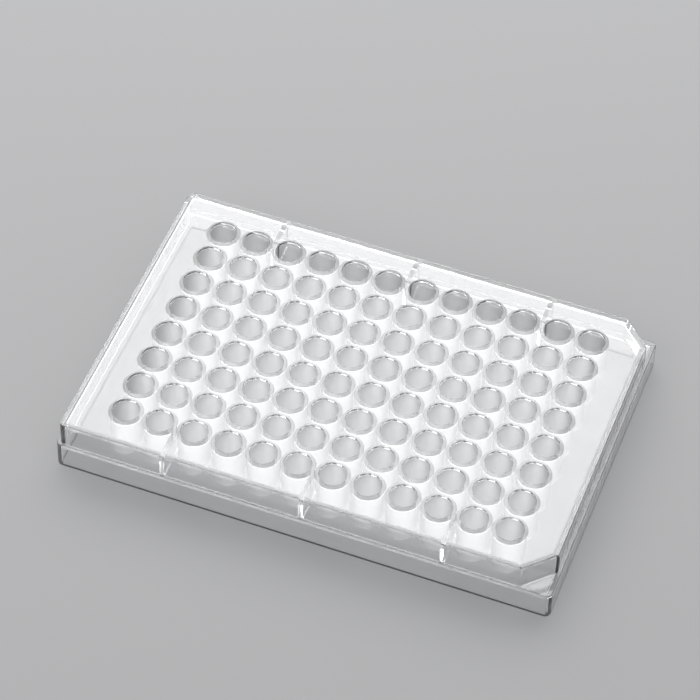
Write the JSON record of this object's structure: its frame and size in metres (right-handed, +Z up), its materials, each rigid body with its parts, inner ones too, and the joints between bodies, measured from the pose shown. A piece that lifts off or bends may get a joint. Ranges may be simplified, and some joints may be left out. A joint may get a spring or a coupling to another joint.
{
  "type": "well plate",
  "caption": "Clear one-piece moulded laboratory well plate: a rectangular skirted tray with a stepped foot and a flat deck of small round flat-bottomed wells.",
  "frame": {"origin": "middle of the footprint, on the plane of the foot's rim", "axes": "+X along the rows of wells, towards the end whose two deck corners are cut off; +Z up, out of the wells' mouths"},
  "size_m": [0.1278, 0.0854, 0.0143],
  "materials": {
    "clear_polystyrene": "glossy, clear and colourless injection-moulded polystyrene"
  },
  "bodies": {
    "root": {"well_plate": "clear_polystyrene"}
  },
  "joints": []
}
